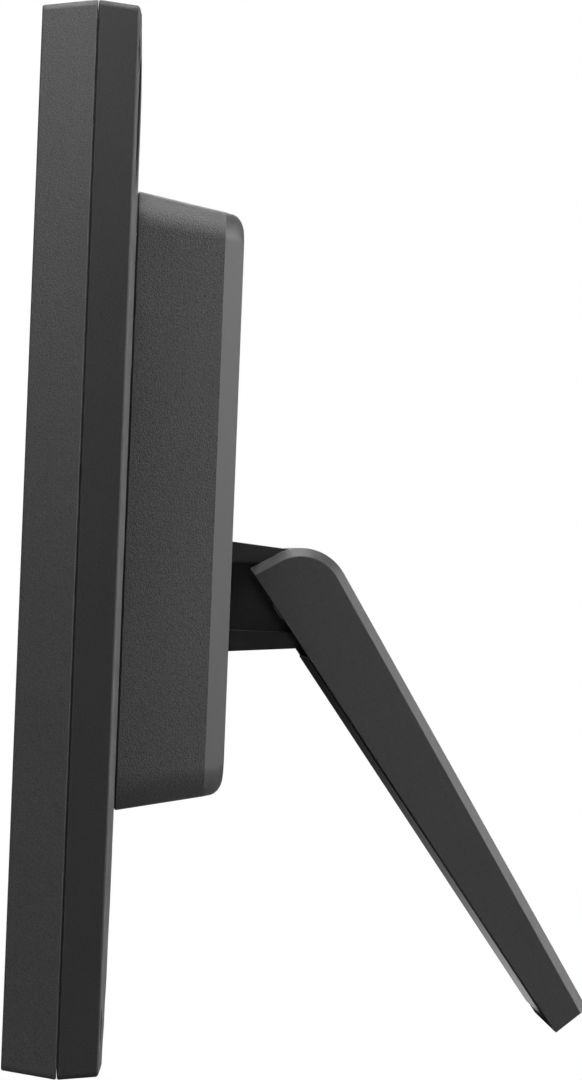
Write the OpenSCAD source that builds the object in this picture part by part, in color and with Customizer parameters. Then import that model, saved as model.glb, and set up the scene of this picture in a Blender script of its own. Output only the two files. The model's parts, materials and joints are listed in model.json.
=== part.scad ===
// Digital photo frame on a hinged rear leg. Millimetres, +Z up, front towards -Y.
// Each piece is drawn in the panel's own frame: X across, Y depth to the rear of the
// parting line, Z height along the panel. in_frame() then leans it back.

/* [Panel] */
// Overall width of the panel
frame_width = 208; // [206:0.5:210]
// Height of the panel along its own face
frame_height = 168; // [167:0.5:170]
// Lean of the panel back from vertical, in degrees
lean = 2.25; // [1.5:0.25:3]
// Depth of the front bezel ahead of the parting line
bezel_depth = 8.7; // [8.6:0.1:9.4]
// Depth of the back shell behind the parting line
shell_depth = 6.4; // [6.2:0.1:6.6]
// How far the bezel draws in towards its front, per side
bezel_draft = 1.05; // [0.6:0.05:1.4]
// How far the back shell draws in towards its rear, per side
shell_draft = 0.6; // [0.3:0.05:0.9]
// Corner radius of the panel outline
panel_corner = 1; // [0.8:0.1:2]
// Chamfer beside the parting line
seam_chamfer = 0.2; // [0.1:0.01:0.5]

/* [Display] */
// Clear width of the window in the bezel
window_width = 161; // [156:1:163]
// Clear height of the window in the bezel
window_height = 121; // [117:1:123]
// Slope run of the window's bevel
window_bevel = 2.2; // [1:0.1:3]

/* [Rear housing] */
// Half width of the housing at its base
housing_half_width = 65; // [64.6:0.1:66]
// Half height of the housing at its base
housing_half_height = 50.45; // [49.8:0.05:51]
// Depth of the housing's rear face
housing_rear = 25.5; // [25.4:0.1:26]
// Corner radius of the housing outline
housing_corner = 6; // [5:0.5:8]

/* [Hinge and leg] */
// Depth of the hinge axis
pivot_depth = 38.7; // [38.4:0.1:39.4]
// Height of the hinge axis along the panel
pivot_height = 75.66; // [75:0.01:77]
// Angle between the opened leg and the panel, in degrees
leg_angle = 35.62; // [33:0.01:36]
// Outside radius of the leg's rounded top
leg_top_radius = 8.445; // [8.4:0.005:8.6]
// Half width of the leg
leg_half_width = 21; // [20.8:0.1:21.6]
// Chamfer on the leg's rear edges
leg_chamfer = 1.4; // [0.6:0.1:1.8]
// Distance of the leg's front face ahead of the hinge axis
leg_front = 4.46; // [4.3:0.01:4.7]
// Radius of the hinge pin
pin_radius = 1.5; // [1.2:0.05:1.6]

/* [Buttons] */
// Radius of a button's cap
button_radius = 2.6; // [2:0.1:2.8]
// Height of a button above the back shell's rim
button_height = 1.5; // [1.4:0.1:1.8]
// Distance from the panel's centre line to the button column
button_offset = 86; // [85:0.5:87]

/* [Hidden] */

$fn = 48;
eps = 0.05;
half_w = frame_width / 2;
half_h = frame_height / 2;
mid_z = half_h;
running_gap = 0.06;
body_gap = 0.3;
over = 0.5;
edge_round = 0.35;
bevel_reach = window_bevel + over;

// Row frame: the lowest line of the shell is the floor, and the depth is centred.
leg_tilt = leg_angle - lean;
pivot_row_y = pivot_depth * cos(lean) + pivot_height * sin(lean);
pivot_row_z = pivot_height * cos(lean) - pivot_depth * sin(lean);
floor_drop = (eps + seam_chamfer) * sin(lean);
leg_end = (pivot_row_z + floor_drop - leg_front * sin(leg_tilt)) / cos(leg_tilt);
leg_end_drop = 0.14;
leg_end_slope = 4.5;
top_edge_angle = 85.2;
rear_edge_angle = -4.15;
leg_tip_depth = -leg_front * cos(leg_tilt) + (leg_end - leg_end_drop) * sin(leg_tilt)
  + end_width(0) * cos(leg_tilt + leg_end_slope);
row_front = -bezel_depth * cos(lean) + (bezel_draft + edge_round) * sin(lean);
row_rear = pivot_row_y + leg_tip_depth;
row_shift = -(row_front + row_rear) / 2;

cavity_half_w = 101.4;
cavity_half_h = 81.4;
lip_half_w = 101.2;
lip_half_h = 81.2;
lip_inner_w = 100;
lip_inner_h = 80;
front_wall = 2.2;
bezel_floor = front_wall - bezel_depth;

case_x = 97;
case_z = [8, frame_height - 8];
bracket_x = 96.5;
bracket_z = [34, 142];

lcd_half_w = 91.5;
lcd_half_h = 70.5;
sheet = 0.3;
lcd_front = -5.95;
lcd_rear = -1;

wall_front = 4.4;
crown_rear = 7.8;
cut_rear = crown_rear + over;
crown_rise = 2.25;
crown_columns = 32;
low_fade = 32;
low_fall = 0.6;
high_fade = 16;
high_fall = 0.9;
fade_steps = 5;
housing_z = 90.65;
opening_half_w = 57.5;
opening_half_h = 46.5;
housing_base = crown_rear + eps;
housing_wall = 2.2;
housing_screw_x = 60.6;
housing_screw_z = [47.6, 133.4];
housing_ceiling = 23.4;
chamfer_depth = 3.15;
chamfer_start = 2.6;
chamfer_slope = 1.05;
nose_depth = 2.5;
nose_start = 2.85;
nose_drop = 3.2;
keyhole_x = 84;
keyhole_z = 146;
keyhole_radius = 4;
keyhole_slot = 8;
keyhole_recess = 7;

board_front = 11;
board_rear = 12.6;
board_posts = [[-26, 125], [44, 125], [44, 80], [-26, 68]];
port_mouth = -62.4;
window_front = 12.3;
jack_back = 2.7;
headphone_depth = 14;
speaker_x = 36;
speaker_z = 57;
speaker_radius = 9.5;
speaker_front = 18.6;
cone_radius = speaker_radius - 1.2;

plate_front = 21.2;
hinge_screw_x = 11;
hinge_screw_dz = 5.5;
rail_half = 18.3;
recess_half = 17;
recess_low = 69.7;
recess_high = 81.2;
cheek_inner = 18.8;
knuckle_radius = 6.85;
wrap_radius = 7.15;
wrap_angle = 68.2;
stop_angle = 105.5;
notch = 9.5;
cover_half = 18.55;
cover_proud = 0.25;
cover_end = 83;
pin_half = 20;
pin_press = 0.03;
washer_radius = 4.75;

key_z = [128, 116, 104, 88, 96, 96, 96];
key_dx = [0, 0, 0, 0, -8, 8, 0];
key_board_front = 0.3;
key_board_rear = 1.3;
switch_rear = 2.8;
plunger_rear = 3.1;
flange_front = 3.4;
flange_rear = 4.1;
flange_radius = 3.2;

// ---------- placement and shared shapes ----------

// Length of the leg's end face, from its front corner, when its rear is drawn in by c.
function end_width(c) = (leg_top_radius - c + leg_front * cos(rear_edge_angle)
  + leg_end * sin(rear_edge_angle)) / cos(rear_edge_angle - leg_end_slope);

module in_frame() {
  translate([0, row_shift, floor_drop])
    rotate([-lean, 0, 0])
      children();
}

// Leg frame: Y is the rear of the leg, Z runs up along its front face.
module on_leg() {
  in_frame()
    translate([0, pivot_depth, pivot_height])
      rotate([leg_angle, 0, 0])
        children();
}

module slab(w, h, d0, d1, x = 0, z = mid_z) {
  translate([x - w / 2, d0, z - h / 2])
    cube([w, d1 - d0, h]);
}

module rod(r, d0, d1, x, z) {
  translate([x, min(d0, d1), z])
    rotate([-90, 0, 0])
      cylinder(r = r, h = abs(d1 - d0));
}

module cross_rod(r, x0, x1, d = 0, z = 0) {
  translate([min(x0, x1), d, z])
    rotate([0, 90, 0])
      cylinder(r = r, h = abs(x1 - x0));
}

// Extrudes a depth and height outline across X.
module across(half, x = 0) {
  translate([x - half, 0, 0])
    rotate([90, 0, 90])
      linear_extrude(2 * half)
        children();
}

corner_steps = 4;

// Levels of an edge rounded by edge_round. The face lies at depth d, and the body on the
// side that sense gives: 1 for a front face, -1 for a rear one.
function rim(d, sense, w, h, c) = [
  for (k = [0:3])
    let (
      a = 30 * (sense > 0 ? k : 3 - k),
      inset = edge_round * (1 - sin(a)),
      back = edge_round * (1 - cos(a))
    )
    [d + sense * back, w - inset, h - inset, c - inset]
];

function ring(level) = [
  for (c = [0:3])
    for (i = [0:corner_steps])
      let (
        a = 90 * c + 90 * i / corner_steps,
        sx = (c == 0 || c == 3) ? 1 : -1,
        sz = c < 2 ? 1 : -1
      )
      [
        sx * (level[1] - level[3]) + level[3] * cos(a),
        level[0],
        sz * (level[2] - level[3]) + level[3] * sin(a)
      ]
];

// Skins rounded rectangles: each level is depth, half width, half height, corner radius.
module loft(levels, z = mid_z) {
  n = 4 * (corner_steps + 1);
  last = len(levels) - 1;
  points = [for (level = levels) each ring(level)];
  sides = [
    for (k = [0:last - 1])
      for (i = [0:n - 1])
        let (j = (i + 1) % n)
        [k * n + i, k * n + j, (k + 1) * n + j, (k + 1) * n + i]
  ];
  front = [for (i = [n - 1:-1:0]) i];
  rear = [for (i = [0:n - 1]) last * n + i];
  translate([0, 0, z])
    polyhedron(points = points, faces = concat([front], sides, [rear]));
}

module frame_band(half_a, half_b, inner_a, inner_b, d0, d1) {
  difference() {
    slab(2 * half_a, 2 * half_b, d0, d1);
    slab(2 * inner_a, 2 * inner_b, d0 - over, d1 + over);
  }
}

// A screw whose head lies from its seat towards side, and whose shank runs to tip.
module screw(x, z, seat, side, tip, head_r, head_h, shank_r) {
  top = seat + side * head_h;
  slot = head_r * 1.3;
  difference() {
    union() {
      rod(head_r, seat, top, x, z);
      rod(shank_r, seat, tip, x, z);
    }
    for (a = [0, 90])
      translate([x, top, z])
        rotate([0, a, 0])
          cube([slot, head_h, head_r * 0.26], center = true);
  }
}

// ---------- display side ----------

module front_bezel() {
  color([0.13, 0.13, 0.135])
    in_frame()
      difference() {
        union() {
          difference() {
            loft([
              each rim(-bezel_depth, 1, half_w - bezel_draft, half_h - bezel_draft, panel_corner),
              [-seam_chamfer - eps, half_w, half_h, panel_corner],
              [-eps, half_w - seam_chamfer, half_h - seam_chamfer, panel_corner * 0.7]
            ]);
            slab(2 * cavity_half_w, 2 * cavity_half_h, bezel_floor, over);
            loft([
              [-bezel_depth - over, window_width / 2 + bevel_reach, window_height / 2 + bevel_reach, 1],
              [bezel_floor, window_width / 2, window_height / 2, 0.5],
              [bezel_floor + over, window_width / 2, window_height / 2, 0.5]
            ]);
          }
          for (x = [-case_x, case_x])
            for (z = case_z)
              rod(2.6, bezel_floor, 0.25, x, z);
          for (x = [-bracket_x, bracket_x])
            for (z = bracket_z)
              rod(2.4, bezel_floor, lcd_rear, x, z);
        }
        for (x = [-case_x, case_x])
          for (z = case_z)
            rod(1.1, bezel_floor + 1.5, over, x, z);
        for (x = [-bracket_x, bracket_x])
          for (z = bracket_z)
            rod(0.85, bezel_floor + 1, over, x, z);
      }
}

module window_gasket() {
  color([0.06, 0.06, 0.06])
    in_frame()
      frame_band(85.5, 65.5, 81.7, 61.7, bezel_floor + 0.02, lcd_front - 0.02);
}

module lcd_front_frame() {
  color([0.62, 0.63, 0.64])
    in_frame()
      difference() {
        slab(2 * lcd_half_w, 2 * lcd_half_h, lcd_front, -1.5);
        slab(2 * (lcd_half_w - sheet), 2 * (lcd_half_h - sheet), lcd_front + sheet, over);
        slab(164, 124, lcd_front - over, over);
      }
}

module lcd_glass() {
  color([0.03, 0.035, 0.045])
    in_frame()
      slab(178, 136, -5.6, -4.3);
}

module optical_films() {
  color([0.9, 0.9, 0.88])
    in_frame()
      slab(173, 131, -4.25, -3.7);
}

module light_guide() {
  color([0.86, 0.9, 0.92])
    in_frame()
      slab(173, 130, -3.65, -1.5, z = mid_z + 0.5);
}

module led_strip() {
  strip_z = 16.2;
  led_pitch = 8.6;
  led_count = 19;
  color([0.95, 0.9, 0.6])
    in_frame() {
      slab(168, 0.5, -3.6, -1.6, z = strip_z);
      for (i = [0:led_count - 1])
        slab(3, 1.4, -3.1, -1.9, x = (i - (led_count - 1) / 2) * led_pitch, z = strip_z + 0.9);
    }
}

module lcd_rear_tray() {
  tray_a = lcd_half_w - sheet - 0.1;
  tray_b = lcd_half_h - sheet - 0.1;
  color([0.7, 0.71, 0.72])
    in_frame()
      difference() {
        slab(2 * tray_a, 2 * tray_b, -4.1, lcd_rear - 0.02);
        slab(2 * (tray_a - sheet), 2 * (tray_b - sheet), -4.1 - over, lcd_rear - 0.02 - sheet);
      }
}

module lcd_driver_board() {
  color([0.05, 0.22, 0.12])
    in_frame()
      slab(120, 12, lcd_rear, -0.2, z = 24);
}

module driver_chips() {
  color([0.05, 0.05, 0.055])
    in_frame()
      for (x = [-42, -28, 34])
        slab(9, 6, -0.18, 0.8, x = x, z = 24);
}

module lcd_flex_cable() {
  color([0.55, 0.33, 0.08])
    in_frame()
      across(8)
        polygon([
          [-0.18, 20],
          [0.02, 20],
          [0.02, 37.9],
          [9.9, 61.9],
          [9.9, 66],
          [9.7, 66],
          [9.7, 62],
          [-0.18, 38]
        ]);
}

module lcd_brackets() {
  plate_w = 15;
  plate_h = 10;
  color([0.72, 0.72, 0.7])
    in_frame()
      difference() {
        for (x = [-92, 92])
          for (z = bracket_z)
            slab(plate_w, plate_h, lcd_rear + 0.02, -0.2, x = x, z = z);
        for (x = [-bracket_x, bracket_x])
          for (z = bracket_z)
            rod(1.1, lcd_rear - over, over, x, z);
      }
}

module bracket_screws() {
  color([0.75, 0.75, 0.74])
    in_frame()
      for (x = [-bracket_x, bracket_x])
        for (z = bracket_z)
          screw(x, z, -0.2, 1, -4.8, 1.9, 1.1, 0.8);
}

// ---------- back shell and keys ----------

// How far back the shell's rear face stands: an arch across, easing down at both ends.
function crown_depth(x, z) =
  let (
    low = max(0, 1 - z / low_fade),
    high = max(0, (z - frame_height + high_fade) / high_fade),
    limit = crown_rear - low_fall * low * low - high_fall * high * high
  )
  min(limit, shell_depth + crown_rise * (1 - pow(x / half_w, 2)));

// The arched middle of the back shell, a grid of columns across and rows up.
module crown() {
  inset = shell_draft + edge_round;
  side = half_w - inset;
  floor_d = wall_front + over;
  fade = [for (k = [0:fade_steps]) k / fade_steps];
  rows = concat(
    [for (f = fade) inset + f * (low_fade - inset)],
    [for (f = fade) frame_height - high_fade + f * (high_fade - inset)]
  );
  nx = crown_columns + 1;
  nz = len(rows);
  across_x = [for (i = [0:crown_columns]) -side + 2 * side * i / crown_columns];
  outer = [for (z = rows) for (x = across_x) [x, crown_depth(x, z), z]];
  inner = [for (z = rows) for (x = across_x) [x, floor_d, z]];
  half = nx * nz;
  skin = [
    for (j = [0:nz - 2])
      for (i = [0:nx - 2])
        let (k = j * nx + i)
        each [[k, k + 1, k + nx + 1], [k, k + nx + 1, k + nx]]
  ];
  underside = [for (f = skin) [f[0] + half, f[2] + half, f[1] + half]];
  sill = [for (i = [0:nx - 2]) [i, i + half, i + half + 1, i + 1]];
  head = [
    for (i = [0:nx - 2])
      let (k = (nz - 1) * nx + i)
      [k, k + 1, k + 1 + half, k + half]
  ];
  left = [for (j = [0:nz - 2]) let (k = j * nx) [k, k + nx, k + nx + half, k + half]];
  right = [for (j = [0:nz - 2]) let (k = j * nx + nx - 1) [k, k + half, k + nx + half, k + nx]];
  polyhedron(points = concat(outer, inner), faces = concat(skin, underside, sill, head, left, right));
}

// A flat pad is sunk into the crown round each keyhole, so its wall has one thickness.
module keyhole(x) {
  slot_z = keyhole_z + keyhole_slot / 2;
  rod(keyhole_recess, shell_depth, cut_rear, x, keyhole_z);
  rod(keyhole_recess, shell_depth, cut_rear, x, keyhole_z + keyhole_slot);
  slab(2 * keyhole_recess, keyhole_slot, shell_depth, cut_rear, x = x, z = slot_z);
  rod(keyhole_radius, wall_front - over, shell_depth + over, x, keyhole_z);
  rod(keyhole_radius / 2, wall_front - over, shell_depth + over, x, keyhole_z + keyhole_slot);
  slab(keyhole_radius, keyhole_slot, wall_front - over, shell_depth + over, x = x, z = slot_z);
}

module back_shell() {
  wall_rear = shell_depth;
  color([0.1, 0.1, 0.105])
    in_frame()
      difference() {
        union() {
          difference() {
            union() {
              loft([
                [eps, half_w - seam_chamfer, half_h - seam_chamfer, panel_corner * 0.7],
                [eps + seam_chamfer, half_w, half_h, panel_corner],
                each rim(wall_rear, -1, half_w - shell_draft, half_h - shell_draft, panel_corner)
              ]);
              crown();
              slab(2 * lip_half_w, 2 * lip_half_h, -1.6, 1);
            }
            slab(2 * lip_inner_w, 2 * lip_inner_h, -2, wall_front);
            slab(2 * opening_half_w, 2 * opening_half_h, 0, cut_rear, z = housing_z);
          }
          for (x = [-case_x, case_x])
            for (z = case_z)
              rod(4.2, 0.3, wall_front + eps, x, z);
          for (p = [[-78.5, 110], [-93.5, 110]])
            rod(2, key_board_rear + eps, wall_front + eps, p[0], p[1]);
        }
        for (x = [-case_x, case_x])
          for (z = case_z) {
            rod(1.35, 0, wall_rear, x, z);
            rod(2.9, 2.4, cut_rear, x, z);
          }
        for (x = [-housing_screw_x, housing_screw_x])
          for (z = housing_screw_z)
            rod(1.25, wall_front - over, cut_rear, x, z);
        for (p = [[-78.5, 110], [-93.5, 110]])
          rod(0.85, key_board_rear, wall_front, p[0], p[1]);
        for (i = [0:len(key_z) - 1])
          rod(button_radius + body_gap, wall_front - over, cut_rear, key_dx[i] - button_offset, key_z[i]);
        for (side = [-1, 1])
          keyhole(side * keyhole_x);
      }
}

module case_screws() {
  color([0.3, 0.3, 0.31])
    in_frame()
      for (x = [-case_x, case_x])
        for (z = case_z)
          screw(x, z, 2.4, 1, -4.4, 2.5, 1.6, 1.05);
}

module key_board() {
  color([0.05, 0.24, 0.13])
    in_frame()
      difference() {
        slab(23, 53, key_board_front, key_board_rear, x = -button_offset, z = 107);
        for (p = [[-78.5, 110], [-93.5, 110]])
          rod(1.1, -over, wall_front, p[0], p[1]);
      }
}

module key_board_screws() {
  color([0.75, 0.75, 0.74])
    in_frame()
      for (p = [[-78.5, 110], [-93.5, 110]])
        screw(p[0], p[1], key_board_front, -1, 4.2, 1.8, 0.9, 0.8);
}

module key_switches() {
  color([0.75, 0.74, 0.7])
    in_frame()
      for (i = [0:len(key_z) - 1]) {
        slab(4.8, 4.8, key_board_rear, switch_rear, x = key_dx[i] - button_offset, z = key_z[i]);
        rod(1.1, switch_rear, plunger_rear, key_dx[i] - button_offset, key_z[i]);
      }
}

module key_cable() {
  color([0.85, 0.85, 0.82])
    in_frame()
      translate([0, 0, 117])
        linear_extrude(6)
          polygon([
            [-80, 1.35],
            [-56, 1.35],
            [-49.9, 9.6],
            [-46, 9.6],
            [-46, 9.8],
            [-50, 9.8],
            [-56.1, 1.55],
            [-80, 1.55]
          ]);
}

module button(i) {
  x = key_dx[i] - button_offset;
  color([0.16, 0.16, 0.165])
    in_frame() {
      rod(flange_radius, flange_front, flange_rear, x, key_z[i]);
      rod(button_radius, flange_front, shell_depth + button_height, x, key_z[i]);
    }
}

module button_power() {
  button(0);
}

module button_menu() {
  button(1);
}

module button_up() {
  button(2);
}

module button_down() {
  button(3);
}

module button_left() {
  button(4);
}

module button_right() {
  button(5);
}

module button_ok() {
  button(6);
}

// ---------- rear housing and electronics ----------

module port_windows() {
  reach = 12;
  out = -housing_half_width - 1;
  translate([out, window_front, 99.4])
    cube([reach, 16.7 - window_front, 25.2]);
  translate([out, window_front, 80.8])
    cube([reach, 19.3 - window_front, 14.4]);
  translate([out, window_front, 71.4])
    cube([reach, 17.5 - window_front, 8.2]);
  cross_rod(3.2, out, out + reach, 16, 66);
  cross_rod(4, out, out + reach, 17.6, 55);
}

module speaker_slots(side) {
  for (i = [-2:2]) {
    length = 13 - 2.2 * abs(i);
    x = side * speaker_x + 2.8 * i;
    slab(1.4, length, housing_ceiling - over, housing_rear + over, x = x, z = speaker_z);
  }
}

// One level of the housing's nose: the sides are a flat chamfer, the top and bottom an arc.
function housing_nose(a, hw, hh, rc) =
  let (
    back = nose_depth * (1 - sin(a)),
    side = chamfer_start + chamfer_slope * (chamfer_depth - back)
  )
  [housing_rear - back, hw - side, hh - nose_start - nose_drop * (1 - cos(a)), rc - 1 - 1.2 * sin(a)];

module rear_housing() {
  hw = housing_half_width;
  hh = housing_half_height;
  rc = housing_corner;
  color([0.15, 0.15, 0.155])
    in_frame()
      difference() {
        union() {
          difference() {
            loft([
              [housing_base, hw - 0.3, hh - 0.3, rc - 0.3],
              [housing_base + 0.3, hw, hh, rc],
              [housing_rear - chamfer_depth, hw - chamfer_start, hh - 2.7, rc - 1],
              for (a = [0:15:90])
                housing_nose(a, hw, hh, rc)
            ], z = housing_z);
            loft([
              [housing_base - over, hw - housing_wall, hh - housing_wall, rc - 1.8],
              [housing_base + 0.3, hw - housing_wall, hh - housing_wall, rc - 1.8],
              [housing_ceiling - 1.2, hw - 4.8, hh - 4.8, rc - 2.6],
              [housing_ceiling, hw - 6.4, hh - 6, rc - 3]
            ], z = housing_z);
          }
          for (x = [-housing_screw_x, housing_screw_x])
            for (z = housing_screw_z)
              rod(2.6, housing_base, 13.4, x, z);
          for (p = board_posts)
            rod(2.5, board_rear + eps, housing_ceiling + eps, p[0], p[1]);
          for (side = [-1, 1])
            difference() {
              rod(speaker_radius + 1.3, 21.4, housing_ceiling + eps, side * speaker_x, speaker_z);
              rod(speaker_radius + 0.3, 21, housing_ceiling + over, side * speaker_x, speaker_z);
            }
        }
        for (x = [-housing_screw_x, housing_screw_x])
          for (z = housing_screw_z)
            rod(1, housing_base - over, 12.4, x, z);
        for (p = board_posts)
          rod(0.9, board_rear, 19, p[0], p[1]);
        for (x = [-hinge_screw_x, hinge_screw_x])
          for (dz = [-hinge_screw_dz, hinge_screw_dz])
            rod(1.5, housing_ceiling - over, housing_rear + over, x, 75.4 + dz);
        for (i = [-6:6])
          slab(1.6, 12, housing_ceiling - over, housing_rear + over, x = 4.4 * i, z = 126);
        for (side = [-1, 1])
          speaker_slots(side);
        port_windows();
      }
}

module housing_screws() {
  color([0.75, 0.75, 0.74])
    in_frame()
      for (x = [-housing_screw_x, housing_screw_x])
        for (z = housing_screw_z)
          screw(x, z, wall_front, -1, 12, 2.2, 1.5, 0.95);
}

module main_board() {
  color([0.04, 0.2, 0.11])
    in_frame()
      difference() {
        slab(105, 78, board_front, board_rear, x = -5, z = 89);
        for (p = board_posts)
          rod(1.3, board_front - over, board_rear + over, p[0], p[1]);
      }
}

module board_screws() {
  color([0.75, 0.75, 0.74])
    in_frame()
      for (p = board_posts)
        screw(p[0], p[1], board_front, -1, 18.4, 2.2, 1.5, 0.85);
}

module processor() {
  color([0.05, 0.05, 0.055])
    in_frame()
      slab(20, 20, board_rear, 14, x = 8, z = 102);
}

module memory_chip() {
  color([0.05, 0.05, 0.055])
    in_frame()
      slab(22, 10, board_rear, 13.8, x = 8, z = 84);
}

module flash_chip() {
  color([0.05, 0.05, 0.055])
    in_frame()
      slab(12, 18, board_rear, 13.8, x = 31, z = 102);
}

module power_inductors() {
  color([0.12, 0.12, 0.12])
    in_frame()
      for (x = [-36, -36 + 11])
        slab(7, 7, board_rear, 16, x = x, z = 84);
}

module capacitors() {
  color([0.7, 0.7, 0.72])
    in_frame()
      for (p = [[-38, 72], [28, 84], [35, 84]])
        rod(2.5, board_rear, 18, p[0], p[1]);
}

module crystal() {
  color([0.8, 0.8, 0.8])
    in_frame()
      slab(4.6, 10, board_rear, 15.6, x = -9, z = 104);
}

module cable_connectors() {
  color([0.85, 0.82, 0.72])
    in_frame() {
      slab(20, 4.4, 8.9, board_front, z = 68.3);
      slab(4.4, 9, 8.9, board_front, x = -43.7, z = 120);
    }
}

module sd_card_slot() {
  color([0.7, 0.71, 0.72])
    in_frame()
      difference() {
        slab(24, 24.6, board_rear, 16.4, x = port_mouth + 12, z = 112);
        slab(22, 23.8, 13.4, 15.9, x = port_mouth + 10, z = 112);
      }
}

module usb_host_port() {
  tongue = 9;
  color([0.72, 0.73, 0.74])
    in_frame() {
      difference() {
        slab(14, 13.4, board_rear, 19, x = port_mouth + 7, z = 88);
        slab(12, 12.4, 13.3, 18.6, x = port_mouth + 5, z = 88);
      }
      slab(tongue + 1, 11.2, 16.5, 18, x = port_mouth + 1.5 + (tongue + 1) / 2, z = 88);
    }
}

module usb_device_port() {
  color([0.72, 0.73, 0.74])
    in_frame() {
      difference() {
        slab(9, 7.4, board_rear, 17.2, x = port_mouth + 4.5, z = 75.5);
        slab(7.4, 6.6, 13.4, 16.8, x = port_mouth + 3.2, z = 75.5);
      }
      slab(6, 4.8, 14.8, 15.5, x = port_mouth + 4.3, z = 75.5);
    }
}

module dc_jack() {
  axis_d = 17.6;
  color([0.07, 0.07, 0.07])
    in_frame() {
      difference() {
        union() {
          slab(12, 9, board_rear, 22, x = port_mouth + jack_back + 6, z = 55);
          cross_rod(3.7, port_mouth - 0.6, port_mouth + jack_back + 1, axis_d, 55);
        }
        cross_rod(2.8, port_mouth - 2, port_mouth + 10, axis_d, 55);
      }
      cross_rod(0.65, port_mouth + 0.6, port_mouth + 11, axis_d, 55);
    }
}

module headphone_jack() {
  axis_d = 16;
  body_x = port_mouth + jack_back + headphone_depth / 2;
  color([0.08, 0.08, 0.08])
    in_frame()
      difference() {
        union() {
          slab(headphone_depth, 6.6, board_rear, 19, x = body_x, z = 66);
          cross_rod(2.9, port_mouth - 0.6, port_mouth + jack_back + 1, axis_d, 66);
        }
        cross_rod(1.8, port_mouth - 2, port_mouth + headphone_depth, axis_d, 66);
      }
}

module speaker_frames() {
  color([0.25, 0.25, 0.26])
    in_frame()
      for (side = [-1, 1])
        difference() {
          rod(speaker_radius, speaker_front + 2.4, housing_ceiling - 0.1, side * speaker_x, speaker_z);
          rod(speaker_radius - 1, speaker_front + 3, housing_ceiling + over, side * speaker_x, speaker_z);
          rod(4.6, speaker_front, housing_ceiling, side * speaker_x, speaker_z);
        }
}

module speaker_cones() {
  color([0.08, 0.08, 0.085])
    in_frame()
      for (side = [-1, 1])
        translate([side * speaker_x, 0, speaker_z])
          rotate([-90, 0, 0])
            rotate_extrude()
              polygon([
                [0, 22.6],
                [3, 22],
                [cone_radius, 22.8],
                [cone_radius, 23.1],
                [3, 22.3],
                [0, 22.9]
              ]);
}

module speaker_magnets() {
  color([0.5, 0.5, 0.52])
    in_frame()
      for (side = [-1, 1])
        rod(4.4, speaker_front, 21.7, side * speaker_x, speaker_z);
}

// ---------- hinge and leg ----------

module hinge_plate() {
  color([0.68, 0.69, 0.7])
    in_frame()
      difference() {
        slab(32, 19, plate_front, housing_ceiling - eps, z = 75.4);
        for (x = [-hinge_screw_x, hinge_screw_x])
          for (dz = [-hinge_screw_dz, hinge_screw_dz])
            rod(1.5, plate_front - over, housing_ceiling, x, 75.4 + dz);
      }
}

module hinge_screws() {
  color([0.75, 0.75, 0.74])
    in_frame()
      for (x = [-hinge_screw_x, hinge_screw_x])
        for (dz = [-hinge_screw_dz, hinge_screw_dz])
          screw(x, 75.4 + dz, plate_front, -1, 31.5, 2.4, 1.5, 1.2);
}

module hinge_block() {
  base = housing_rear + 0.02;
  stop_r = 8.46;
  heel_back = 0.5;
  heel_drop = 8.69;
  color([0.06, 0.06, 0.062])
    in_frame()
      difference() {
        union() {
          across(rail_half)
            polygon([
              [base, 84.87],
              [pivot_depth + stop_r * cos(stop_angle), pivot_height + stop_r * sin(stop_angle)],
              [pivot_depth, pivot_height],
              [pivot_depth - heel_back, pivot_height - heel_drop],
              [base, 65.96]
            ]);
          cross_rod(knuckle_radius, -rail_half, rail_half, pivot_depth, pivot_height);
        }
        for (side = [-1, 1])
          translate([side > 0 ? recess_half : -recess_half - 2, base - over, recess_low])
            cube([2, 30, recess_high - recess_low]);
        cross_rod(pin_radius + running_gap, -rail_half - over, rail_half + over, pivot_depth, pivot_height);
        for (x = [-hinge_screw_x, hinge_screw_x])
          for (dz = [-hinge_screw_dz, hinge_screw_dz])
            rod(1.25, base - over, 32.5, x, 75.4 + dz);
      }
}

// The leg's side outline, drawn in by c along its top and rear but not its front.
function leg_outline(c) = [
  [-leg_front, (leg_top_radius - c + leg_front * cos(top_edge_angle)) / sin(top_edge_angle)],
  [-leg_front, leg_end_drop - leg_end],
  [
    end_width(c) * cos(leg_end_slope) - leg_front,
    end_width(c) * sin(leg_end_slope) + leg_end_drop - leg_end
  ],
  for (i = [0:arc_steps])
    let (a = rear_edge_angle + (top_edge_angle - rear_edge_angle) * i / arc_steps)
    [(leg_top_radius - c) * cos(a), (leg_top_radius - c) * sin(a)]
];

arc_steps = 20;

module leg_hollow() {
  skin = leg_top_radius - wrap_radius;
  floor_w = 1.6 - leg_end;
  floor_u = end_width(skin) * cos(leg_end_slope) - leg_front;
  across(cheek_inner)
    circle(r = wrap_radius);
  across(cheek_inner)
    polygon([
      [0, 0],
      [14 * cos(wrap_angle), 14 * sin(wrap_angle)],
      [-14, 14],
      [-14, -leg_end - 2],
      [-0.3, -leg_end - 2],
      [-0.3, floor_w],
      [floor_u, floor_w],
      [wrap_radius * cos(rear_edge_angle), wrap_radius * sin(rear_edge_angle)]
    ]);
}

module leg_shell() {
  color([0.1, 0.1, 0.105])
    on_leg() {
      difference() {
        hull() {
          across(leg_half_width - leg_chamfer)
            polygon(leg_outline(0));
          across(leg_half_width)
            polygon(leg_outline(leg_chamfer));
        }
        leg_hollow();
        cross_rod(pin_radius + pin_press, -pin_half - eps, pin_half + eps);
      }
      for (w = [-28, -46, -64])
        translate([-cheek_inner - 0.2, -3, w])
          cube([2 * cheek_inner + 0.4, 6.4 + w * 0.02, 1.2]);
    }
}

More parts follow.
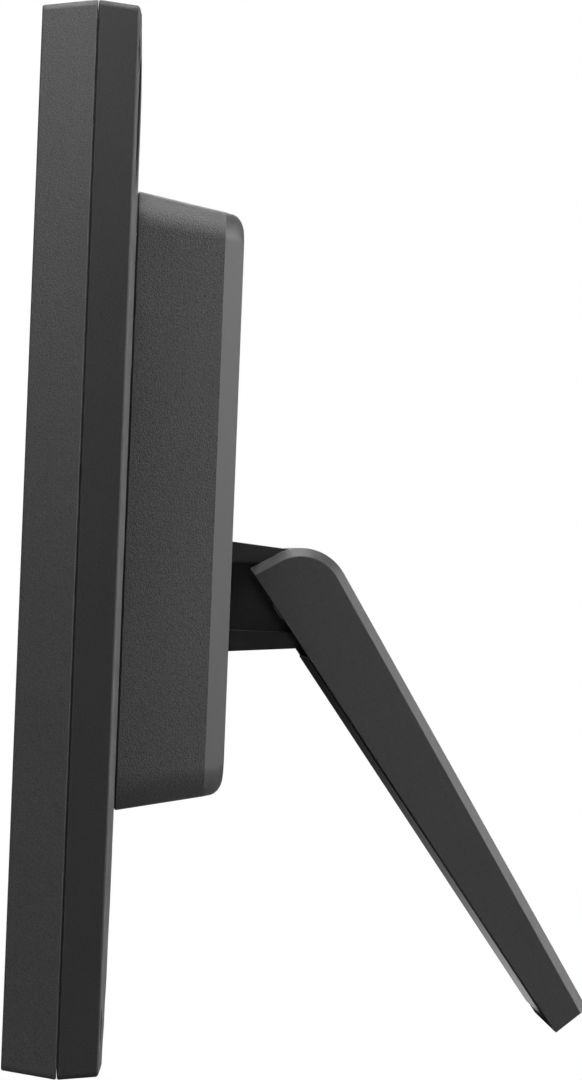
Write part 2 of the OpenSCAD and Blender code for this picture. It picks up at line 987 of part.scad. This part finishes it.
module leg_cover() {
  cover_rear = -3.3;
  tab = 1.3;
  color([0.02, 0.02, 0.022])
    on_leg() {
      translate([-cover_half, -leg_front - cover_proud, -cover_end])
        cube([2 * cover_half, cover_rear + leg_front + cover_proud, cover_end - notch]);
      for (side = [-1, 1])
        for (w = [-18, -38, -56, -74])
          translate([side * (cover_half - tab / 2) - tab / 2, cover_rear - 0.1, w])
            cube([tab, 2.1, 4]);
    }
}

module foot_pad() {
  pad_half = 18.5;
  pad_top = -cover_end - 0.25;
  color([0.04, 0.04, 0.04])
    on_leg()
      across(pad_half)
        polygon([
          [-leg_front, pad_top],
          [-leg_front, -leg_end],
          [-0.6, -leg_end + (leg_front - 0.6) * tan(leg_end_slope)],
          [-0.6, pad_top]
        ]);
}

module hinge_pin() {
  color([0.78, 0.78, 0.79])
    on_leg()
      cross_rod(pin_radius, -pin_half, pin_half);
}

module friction_washers() {
  color([0.6, 0.6, 0.61])
    on_leg()
      for (side = [-1, 1])
        difference() {
          cross_rod(washer_radius, side * (recess_half + eps), side * (cheek_inner - eps));
          cross_rod(pin_radius + pin_press, side * (recess_half - 1), side * (cheek_inner + 1));
        }
}

front_bezel();
window_gasket();
lcd_front_frame();
lcd_glass();
optical_films();
light_guide();
led_strip();
lcd_rear_tray();
lcd_driver_board();
driver_chips();
lcd_flex_cable();
lcd_brackets();
bracket_screws();
back_shell();
case_screws();
key_board();
key_board_screws();
key_switches();
key_cable();
rear_housing();
housing_screws();
main_board();
board_screws();
processor();
memory_chip();
flash_chip();
power_inductors();
capacitors();
crystal();
cable_connectors();
sd_card_slot();
usb_host_port();
usb_device_port();
dc_jack();
headphone_jack();
speaker_frames();
speaker_cones();
speaker_magnets();
hinge_plate();
hinge_screws();
hinge_block();
leg_shell();
leg_cover();
foot_pad();
hinge_pin();
friction_washers();
button_power();
button_menu();
button_up();
button_down();
button_left();
button_right();
button_ok();
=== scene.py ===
import json
import math

import bpy
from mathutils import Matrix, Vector


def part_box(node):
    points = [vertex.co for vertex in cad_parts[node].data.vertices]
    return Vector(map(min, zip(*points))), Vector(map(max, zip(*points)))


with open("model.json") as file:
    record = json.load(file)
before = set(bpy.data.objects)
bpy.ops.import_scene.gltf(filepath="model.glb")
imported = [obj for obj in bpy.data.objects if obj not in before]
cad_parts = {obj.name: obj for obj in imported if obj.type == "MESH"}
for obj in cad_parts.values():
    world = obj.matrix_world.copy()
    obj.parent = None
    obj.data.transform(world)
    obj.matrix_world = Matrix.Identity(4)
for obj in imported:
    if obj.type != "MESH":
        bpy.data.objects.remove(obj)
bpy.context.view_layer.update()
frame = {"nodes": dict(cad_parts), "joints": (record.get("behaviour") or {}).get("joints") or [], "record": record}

nodes = frame["nodes"]
hinge = next(j for j in frame["joints"] if j["name"] == "leg_hinge")
pivot = Vector(hinge["pos_m"])
scene = bpy.context.scene

MM = 0.001
UM = 0.000001
WHITE = (1, 1, 1)


# ---------- node helpers ----------

finishes = {}


def material(name):
    """A new node material, kept in finishes under its name. Returns its tree and its shader."""
    m = bpy.data.materials.new(name)
    m.use_nodes = True
    finishes[name] = m
    return m.node_tree, next(n for n in m.node_tree.nodes if n.type == "BSDF_PRINCIPLED")


def feed(tree, value, socket):
    """Set a socket to a number or a colour, or link it to another node's output."""
    if isinstance(value, (int, float)):
        socket.default_value = value
    elif isinstance(value, tuple):
        socket.default_value = (*value, 1)
    else:
        tree.links.new(value, socket)


def ramp(tree, source, low, high, out_low, out_high):
    r = tree.nodes.new("ShaderNodeMapRange")
    r.inputs["From Min"].default_value = low
    r.inputs["From Max"].default_value = high
    r.inputs["To Min"].default_value = out_low
    r.inputs["To Max"].default_value = out_high
    tree.links.new(source, r.inputs["Value"])
    return r.outputs["Result"]


def maths(tree, operation, a, b):
    n = tree.nodes.new("ShaderNodeMath")
    n.operation = operation
    feed(tree, a, n.inputs[0])
    feed(tree, b, n.inputs[1])
    return n.outputs[0]


def colour_mix(tree, factor, a, b, mode="MIX"):
    mix = tree.nodes.new("ShaderNodeMix")
    mix.data_type = "RGBA"
    mix.blend_type = mode
    feed(tree, factor, mix.inputs["Factor"])
    feed(tree, a, mix.inputs["A"])
    feed(tree, b, mix.inputs["B"])
    return mix.outputs["Result"]


def coordinate(tree, kind, axis):
    """One axis of a texture coordinate: Object is a place on the piece, Normal is the way it faces."""
    split = tree.nodes.new("ShaderNodeSeparateXYZ")
    tree.links.new(tree.nodes.new("ShaderNodeTexCoord").outputs[kind], split.inputs[0])
    return split.outputs[axis]


def noise(tree, size, detail=2.0, rough=0.55, squash=(1, 1, 1)):
    """A noise whose lumps are about size metres across, fixed to the object."""
    coord = tree.nodes.new("ShaderNodeTexCoord")
    mapping = tree.nodes.new("ShaderNodeMapping")
    mapping.inputs["Scale"].default_value = squash
    n = tree.nodes.new("ShaderNodeTexNoise")
    n.inputs["Scale"].default_value = 1.0 / size
    n.inputs["Detail"].default_value = detail
    n.inputs["Roughness"].default_value = rough
    tree.links.new(coord.outputs["Object"], mapping.inputs["Vector"])
    tree.links.new(mapping.outputs["Vector"], n.inputs["Vector"])
    return n.outputs["Fac"]


def edge_mask(tree, radius):
    """0 on flats and 1 along sharp edges, from how far a bevelled normal turns from the true one."""
    bevel = tree.nodes.new("ShaderNodeBevel")
    bevel.samples = 6
    bevel.inputs["Radius"].default_value = radius
    dot = tree.nodes.new("ShaderNodeVectorMath")
    dot.operation = "DOT_PRODUCT"
    tree.links.new(bevel.outputs["Normal"], dot.inputs[0])
    tree.links.new(tree.nodes.new("ShaderNodeNewGeometry").outputs["Normal"], dot.inputs[1])
    return ramp(tree, dot.outputs["Value"], 1.0, 0.75, 0.0, 1.0)


def bumped(tree, shader, height, depth, strength=1.0):
    """Tilt the surface by a height that is depth metres deep. The strength may be a mask."""
    bump = tree.nodes.new("ShaderNodeBump")
    bump.inputs["Distance"].default_value = depth
    feed(tree, strength, bump.inputs["Strength"])
    tree.links.new(height, bump.inputs["Height"])
    tree.links.new(bump.outputs["Normal"], shader.inputs["Normal"])


def scaled(rgb, k):
    return tuple(min(1.0, c * k) for c in rgb)


# ---------- kinds of finish ----------

REFRACTIVE_INDEX = 1.5


def plastic(name, rgb, rough, grain_mm=0.38, depth_um=18, contrast=0.25, wear_and_highlight=0.35, specular=0.5,
            plain_chamfer=False, rub_and_highlight=4.0, sheen=0.0):
    """Moulded plastic: an eroded grain, faint flow mottling, and edges lighter and smoother, partly rubbed and
    partly a painted highlight.

    The lightening factor says how much lighter the edges are painted, for rubbing and for a painted highlight, and
    plain_chamfer leaves the grain off sloping rear edges.
    """
    t, s = material(name)
    grain = noise(t, grain_mm * MM * 0.55, 2.5, 0.6)
    tone = ramp(t, grain, 0.3, 0.7, 0, 1)
    depth_mask = 1.0
    if plain_chamfer:
        rearward = coordinate(t, "Normal", "Y")
        sloping = ramp(t, rearward, 0.3, 0.45, 0, 1)
        not_square = ramp(t, rearward, 0.9, 0.97, 1, 0)
        chamfer = maths(t, "MULTIPLY", sloping, not_square)
        depth_mask = maths(t, "SUBTRACT", 1.0, maths(t, "MULTIPLY", chamfer, 0.85))
        tone = maths(t, "ADD", maths(t, "MULTIPLY", tone, depth_mask), maths(t, "MULTIPLY", chamfer, 0.42))
    base = colour_mix(t, tone, scaled(rgb, 1 - contrast), scaled(rgb, 1 + contrast))
    flow = colour_mix(t, ramp(t, noise(t, 14 * MM, 3.0), 0.3, 0.7, 0, 1), scaled(WHITE, 0.93), WHITE)
    mottled = colour_mix(t, 1.0, base, flow, "MULTIPLY")
    patchy = ramp(t, noise(t, 2.2 * MM, 3.0), 0.35, 0.65, 0.35, 1.0)
    edge_wear_and_highlight = maths(t, "MULTIPLY", edge_mask(t, 0.25 * MM), patchy)
    # Edges are painted lighter toward a brighter copy of the plastic's colour: partly rubbing, partly a painted
    # highlight along the rims.
    worn_and_highlit = colour_mix(t, maths(t, "MULTIPLY", edge_wear_and_highlight, wear_and_highlight), mottled, scaled(rgb, rub_and_highlight))
    t.links.new(worn_and_highlit, s.inputs["Base Color"])
    polish = maths(t, "MULTIPLY", edge_wear_and_highlight, -0.12)
    matt = ramp(t, grain, 0.25, 0.75, rough - 0.05, rough + 0.07)
    t.links.new(maths(t, "ADD", matt, polish), s.inputs["Roughness"])
    s.inputs["IOR"].default_value = REFRACTIVE_INDEX
    s.inputs["Specular IOR Level"].default_value = specular
    s.inputs["Sheen Weight"].default_value = sheen
    s.inputs["Sheen Roughness"].default_value = 0.3
    bumped(t, s, grain, depth_um * UM, depth_mask)


def gloss(name, rgb, rough=0.06, specular=0.5):
    """Polished plastic or glass: haze from handling, fine hairlines, and a ripple from the mould."""
    t, s = material(name)
    haze = noise(t, 9 * MM, 4.0, 0.6)
    hair = noise(t, 0.25 * MM, 3.0, 0.7, squash=(1, 0.04, 1))
    smudged = ramp(t, haze, 0.3, 0.7, 0, 1)
    t.links.new(colour_mix(t, smudged, scaled(rgb, 0.85), scaled(rgb, 1.2)), s.inputs["Base Color"])
    hazy = ramp(t, haze, 0.35, 0.75, rough, rough + 0.05)
    scratched = ramp(t, hair, 0.68, 0.8, 0.0, 0.05)
    t.links.new(maths(t, "ADD", hazy, scratched), s.inputs["Roughness"])
    s.inputs["IOR"].default_value = REFRACTIVE_INDEX
    s.inputs["Specular IOR Level"].default_value = specular
    bumped(t, s, noise(t, 3 * MM, 1.0), 4 * UM, 0.15)


def metal(name, rgb, rough=0.32, metallic=1.0, shade_past_x=None):
    """Sheet or turned metal: drawn streaks and dull spots. Past the given x it is painted near black and not
    metallic, a painted shade inside the opening.
    """
    t, s = material(name)
    streak = noise(t, 0.5 * MM, 4.0, 0.65, squash=(0.06, 1, 1))
    spots = noise(t, 1.8 * MM, 3.0, 0.6)
    tone = colour_mix(t, ramp(t, spots, 0.35, 0.7, 0, 1), scaled(rgb, 0.8), rgb)
    t.links.new(ramp(t, streak, 0.3, 0.7, rough - 0.08, rough + 0.12), s.inputs["Roughness"])
    if shade_past_x is None:
        s.inputs["Metallic"].default_value = metallic
    else:
        # Deeper than the lip the port is painted near black: painted shade inside the opening.
        painted_inside_shade = ramp(t, coordinate(t, "Object", "X"), shade_past_x, shade_past_x + 0.2 * MM, 0, 1)
        tone = colour_mix(t, painted_inside_shade, tone, scaled(WHITE, 0.016))
        t.links.new(maths(t, "SUBTRACT", metallic, painted_inside_shade), s.inputs["Metallic"])
    t.links.new(tone, s.inputs["Base Color"])
    bumped(t, s, streak, 4 * UM, 0.4)


def board(name, rgb):
    """Solder mask over copper: lighter tracks under green lacquer."""
    t, s = material(name)
    cells = t.nodes.new("ShaderNodeTexVoronoi")
    cells.distance = "MANHATTAN"
    cells.feature = "F1"
    cells.inputs["Scale"].default_value = 1 / (2.2 * MM)
    t.links.new(t.nodes.new("ShaderNodeTexCoord").outputs["Object"], cells.inputs["Vector"])
    tracks = ramp(t, cells.outputs["Distance"], 0.35, 0.45, 0, 1)
    t.links.new(colour_mix(t, tracks, scaled(rgb, 1.5), rgb), s.inputs["Base Color"])
    t.links.new(ramp(t, noise(t, 1.2 * MM), 0.3, 0.7, 0.28, 0.42), s.inputs["Roughness"])
    bumped(t, s, tracks, 15 * UM, 0.5)


# ---------- the finishes, one for each material slot ----------

CHARCOAL = (0.036, 0.036, 0.0355)
PORT_LIP = 0.6 * MM

# the cases, the leg and the hinge
# One charcoal plastic: the multipliers on CHARCOAL paint the bezel and housing lighter and the shell and leg
# darker, painted light and shade for how light falls on each tilted face.
plastic("bezel_plastic", scaled(CHARCOAL, 1.15), 0.5, 0.42, 85, contrast=0.5, wear_and_highlight=0.8, rub_and_highlight=5.0, sheen=0.05)
plastic("shell_plastic", scaled(CHARCOAL, 0.4), 0.52, 0.36, 48, contrast=0.45, wear_and_highlight=0.9, specular=0.42,
        rub_and_highlight=9.0, sheen=0.13)
plastic("housing_plastic", scaled(CHARCOAL, 1.2), 0.52, 0.48, 120, contrast=0.62, wear_and_highlight=0.6,
        plain_chamfer=True, rub_and_highlight=5.0, sheen=0.06)
plastic("leg_plastic", scaled(CHARCOAL, 0.77), 0.5, 0.34, 30, contrast=0.4, wear_and_highlight=0.75, rub_and_highlight=6.0)
# hinge_black is darker than the plastics around it: partly its own black, partly painted shade of the block's side
# recess.
plastic("hinge_black", (0.0152, 0.0152, 0.0149), 0.6, 0.4, 40, contrast=0.4, specular=0.35)
gloss("gloss_black", (0.006, 0.006, 0.006), 0.07, specular=0.2)
plastic("button_plastic", scaled(CHARCOAL, 1.5), 0.42, 0.3, 6, wear_and_highlight=0.6)
plastic("foot_rubber", (0.012, 0.012, 0.012), 0.75, 0.6, 20, wear_and_highlight=0.1)
plastic("foam", (0.02, 0.02, 0.02), 0.9, 0.9, 60, wear_and_highlight=0.0)

# sheet metal and screws
metal("sheet_steel", (0.27, 0.275, 0.28), 0.46)
metal("screw_steel", (0.62, 0.62, 0.61), 0.3)
metal("screw_black", (0.05, 0.05, 0.052), 0.4, 0.8)

# the display
gloss("panel_glass", (0.006, 0.007, 0.009), 0.12)
plastic("film", (0.75, 0.75, 0.73), 0.6, 0.5, 2, contrast=0.03, wear_and_highlight=0.0)
gloss("acrylic", (0.7, 0.74, 0.76), 0.1)
plastic("led", (0.75, 0.62, 0.28), 0.4, 0.6, 3, contrast=0.08, wear_and_highlight=0.0)

# the electronics, ports and speakers
board("circuit_board", (0.012, 0.075, 0.035))
plastic("chip", (0.018, 0.018, 0.019), 0.55, 0.2, 6, wear_and_highlight=0.2)
metal("can_metal", (0.68, 0.68, 0.69), 0.28)
plastic("nylon", (0.66, 0.62, 0.52), 0.5, 0.5, 4, contrast=0.05, wear_and_highlight=0.1)
plastic("flex", (0.36, 0.17, 0.03), 0.35, 0.5, 2, contrast=0.1, wear_and_highlight=0.1)
plastic("ribbon", (0.7, 0.7, 0.67), 0.45, 0.5, 2, contrast=0.05, wear_and_highlight=0.1)
metal("port_metal", (0.5, 0.51, 0.52), 0.34, shade_past_x=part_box("usb_host_port")[0][0] + PORT_LIP)
plastic("jack_plastic", (0.02, 0.02, 0.02), 0.45, 0.3, 6, wear_and_highlight=0.2)
plastic("cone_paper", (0.025, 0.025, 0.026), 0.8, 0.5, 18, wear_and_highlight=0.0)
metal("magnet", (0.3, 0.3, 0.31), 0.38)

slot_of = {s["node"]: s["material_slot"] for s in frame["record"]["subparts"]}
for name, piece in nodes.items():
    finish = finishes[slot_of[name]]
    if piece.data.materials:
        for i in range(len(piece.data.materials)):
            piece.data.materials[i] = finish
    else:
        piece.data.materials.append(finish)


# ---------- edges: the CAD pieces get the small radii that moulding and stamping leave ----------

def smooth_group():
    g = bpy.data.node_groups.new("smooth_faces", "GeometryNodeTree")
    g.interface.new_socket("Geometry", in_out="INPUT", socket_type="NodeSocketGeometry")
    g.interface.new_socket("Geometry", in_out="OUTPUT", socket_type="NodeSocketGeometry")
    start = g.nodes.new("NodeGroupInput")
    end = g.nodes.new("NodeGroupOutput")
    shade = g.nodes.new("GeometryNodeSetShadeSmooth")
    shade.inputs["Shade Smooth"].default_value = True
    g.links.new(start.outputs[0], shade.inputs["Geometry"])
    g.links.new(shade.outputs[0], end.inputs[0])
    return g


SMOOTH = smooth_group()


def round_edges(piece, radius_mm, segments, angle, merge=0.4):
    """Round the edges sharper than angle degrees, once faces within merge degrees are joined."""
    weld = piece.modifiers.new("weld", "WELD")
    weld.merge_threshold = 2 * UM
    flat = piece.modifiers.new("flat", "DECIMATE")
    flat.decimate_type = "DISSOLVE"
    flat.angle_limit = math.radians(merge)
    bevel = piece.modifiers.new("round", "BEVEL")
    bevel.width = radius_mm * MM
    bevel.segments = segments
    bevel.limit_method = "ANGLE"
    bevel.angle_limit = math.radians(angle)
    bevel.use_clamp_overlap = True
    smooth = piece.modifiers.new("smooth", "NODES")
    smooth.node_group = SMOOTH
    normals = piece.modifiers.new("normals", "WEIGHTED_NORMAL")
    normals.weight = 80
    normals.keep_sharp = False


CASE_RADII_MM = {
    "front_bezel": 0.12,
    "back_shell": 0.12,
    "rear_housing": 0.2,
    "hinge_block": 0.3,
    "leg_shell": 0.25,
    "leg_cover": 0.4,
    "foot_pad": 0.2,
}
CASE_ANGLE = 28
SMALL_ANGLE = 50
# the shell's arch is made of shallow facets, which a wider merge would join unevenly
ARCH_MERGE = 0.05

for name, piece in nodes.items():
    if name == "back_shell":
        round_edges(piece, CASE_RADII_MM[name], 3, CASE_ANGLE, ARCH_MERGE)
    elif name in CASE_RADII_MM:
        round_edges(piece, CASE_RADII_MM[name], 3, CASE_ANGLE)
    elif name.startswith("button_"):
        round_edges(piece, 0.25, 3, SMALL_ANGLE)
    elif "screws" in name or name in ("friction_washers", "hinge_pin"):
        round_edges(piece, 0.08, 2, SMALL_ANGLE)
    else:
        round_edges(piece, 0.06, 2, SMALL_ANGLE)


# ---------- the floor and the world: plain white to the camera, dim in what they light ----------

FLOOR_HALF = 4
FLOOR_LEVEL = -0.0003
FLOOR_GREY = 0.28
WORLD_GLOW = 0.02


def seen_white(tree, shade, glow, surface):
    """Show glow to the camera and shade to every other ray."""
    glow.inputs["Color"].default_value = (*WHITE, 1)
    glow.inputs["Strength"].default_value = 1.0
    mix = tree.nodes.new("ShaderNodeMixShader")
    path = tree.nodes.new("ShaderNodeLightPath")
    tree.links.new(path.outputs["Is Camera Ray"], mix.inputs[0])
    tree.links.new(shade.outputs[0], mix.inputs[1])
    tree.links.new(glow.outputs[0], mix.inputs[2])
    tree.links.new(mix.outputs[0], surface)


def pale_floor():
    corners = [(-1, -1), (1, -1), (1, 1), (-1, 1)]
    mesh = bpy.data.meshes.new("floor")
    mesh.from_pydata([(x * FLOOR_HALF, y * FLOOR_HALF, FLOOR_LEVEL) for x, y in corners], [], [(0, 1, 2, 3)])
    o = bpy.data.objects.new("floor", mesh)
    scene.collection.objects.link(o)
    t, s = material("floor")
    s.inputs["Base Color"].default_value = (*scaled(WHITE, FLOOR_GREY), 1)
    s.inputs["Roughness"].default_value = 0.9
    s.inputs["Specular IOR Level"].default_value = 0.1
    out = next(n for n in t.nodes if n.type == "OUTPUT_MATERIAL")
    seen_white(t, s, t.nodes.new("ShaderNodeEmission"), out.inputs["Surface"])
    mesh.materials.append(finishes["floor"])


def studio_world():
    world = bpy.data.worlds.new("studio")
    world.use_nodes = True
    t = world.node_tree
    dim = t.nodes["Background"]
    dim.inputs["Color"].default_value = (*WHITE, 1)
    dim.inputs["Strength"].default_value = WORLD_GLOW
    seen_white(t, dim, t.nodes.new("ShaderNodeBackground"), t.nodes["World Output"].inputs["Surface"])
    return world


pale_floor()
scene.world = studio_world()


# ---------- lights ----------

AIM = (0.08, 0.0, 0.085)


def around(azimuth, elevation, reach):
    """A place reach metres from AIM, by its azimuth from +X and its elevation, in degrees."""
    a, e = math.radians(azimuth), math.radians(elevation)
    flat = reach * math.cos(e)
    return (AIM[0] + flat * math.cos(a), AIM[1] + flat * math.sin(a), AIM[2] + reach * math.sin(e))


def softbox(name, place, target, size, power, spread=180):
    """A rectangular light. A narrow spread, in degrees, lights less of the floor round the object."""
    light = bpy.data.lights.new(name, "AREA")
    light.shape = "RECTANGLE"
    light.size, light.size_y = size
    light.energy = power
    light.spread = math.radians(spread)
    lamp = bpy.data.objects.new(name, light)
    scene.collection.objects.link(lamp)
    lamp.location = place
    lamp.rotation_mode = "QUATERNION"
    lamp.rotation_quaternion = (Vector(target) - Vector(place)).to_track_quat("-Z", "Y")


softbox("key", (0.27, -0.07, 0.29), (0.1, -0.02, 0.15), (0.12, 0.12), 0.62)
softbox("side", around(25, 5, 1.3), AIM, (0.5, 0.5), 0.7)
softbox("rear", around(84, 16, 0.75), AIM, (0.28, 0.28), 2.1, spread=110)
softbox("top", (0.13, 0.01, 0.65), (0.06, 0.0, 0.14), (0.15, 0.15), 0.33, spread=50)
softbox("front_fill", around(-110, 35, 1.3), AIM, (0.7, 0.7), 0.5)
softbox("far_side", around(184, 32, 1.2), AIM, (0.4, 0.4), 0.45, spread=50)


# ---------- camera: about a metre off the +X side, at half height, turned a little to the rear ----------

CAMERA_X = 1.0155
CAMERA_AHEAD_OF_HINGE = 0.043616
CAMERA_Z = 0.083889
CAMERA_TURN = math.radians(2.414)

camera_data = bpy.data.cameras.new("camera")
camera_data.lens = 195.6
camera_data.sensor_width = 36
camera_data.clip_start = 0.01
camera_data.clip_end = 50
camera = bpy.data.objects.new("camera", camera_data)
scene.collection.objects.link(camera)
camera.location = (CAMERA_X, pivot.y - CAMERA_AHEAD_OF_HINGE, CAMERA_Z)
looking = Vector((-math.cos(CAMERA_TURN), math.sin(CAMERA_TURN), 0))
camera.rotation_mode = "QUATERNION"
camera.rotation_quaternion = looking.to_track_quat("-Z", "Y")
bpy.context.scene.camera = camera

scene.view_settings.view_transform = "Standard"
scene.view_settings.look = "None"
